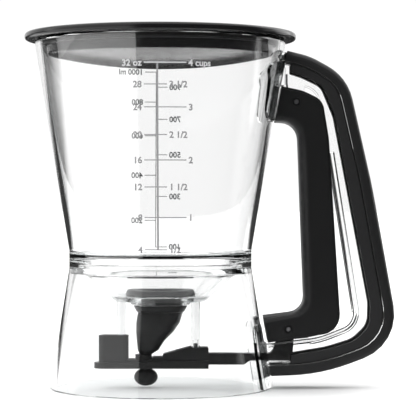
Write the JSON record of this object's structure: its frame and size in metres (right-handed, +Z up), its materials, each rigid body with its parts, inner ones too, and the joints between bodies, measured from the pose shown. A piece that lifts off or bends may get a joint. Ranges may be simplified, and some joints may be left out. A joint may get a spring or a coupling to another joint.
{
  "type": "pancake batter dispenser",
  "caption": "Clear tapering jug with a dished lift-off lid, a flaring base, a D-shaped handle with a long trigger and a sliding silicone nozzle under the outlet.",
  "frame": {"origin": "centre of the base ring on the table", "axes": "+Z up along the axis of the jug, +X from the jug toward the handle, +Y across the handle"},
  "size_m": [0.1863, 0.1372, 0.1793],
  "materials": {
    "clear_body": "clear moulded plastic, glossy",
    "black_plastic": "black moulded plastic, satin",
    "soft_grip": "black soft-touch rubber, matte",
    "silicone": "black silicone, matte",
    "steel": "bare steel"
  },
  "bodies": {
    "jug": {"reservoir": "clear_body", "base_skirt": "clear_body", "guide_post_rear": "clear_body", "guide_post_front": "clear_body", "guide_washer_rear": "steel", "guide_washer_front": "steel", "guide_screw_rear": "steel", "guide_screw_front": "steel", "valve_flange": "silicone", "valve_cone": "silicone", "handle_frame": "clear_body", "palm_grip": "soft_grip", "inner_grip_left": "soft_grip", "inner_grip_right": "soft_grip", "pivot_pin": "steel", "return_spring": "steel"},
    "trigger": {"trigger_lever": "black_plastic", "trigger_grip": "soft_grip", "link_pin": "steel"},
    "slider": {"slide_bar": "black_plastic", "nozzle": "silicone"},
    "cover": {"lid": "black_plastic", "lid_seal": "soft_grip"}
  },
  "joints": [
    {"name": "trigger_hinge", "type": "hinge", "parent": "jug", "child": "trigger", "pos_m": [0.06844, 0, 0.1445], "axis": [0, -1, 0], "range_deg": [0, 3.7], "stiffness_Nm_per_rad": 4, "springref_deg": -2.86, "deforming": ["return_spring"]},
    {"name": "bar_slide", "type": "slide", "parent": "jug", "child": "slider", "axis": [1, 0, 0], "range_m": [0, 0.0075], "deforming": ["valve_cone"]},
    {"name": "lid_lift", "type": "slide", "parent": "jug", "child": "cover", "axis": [0, 0, 1], "range_m": [0, 0.1]}
  ],
  "couplings": [
    {"joint": "bar_slide", "follows": "trigger_hinge", "m_per_rad": 0.1143}
  ]
}
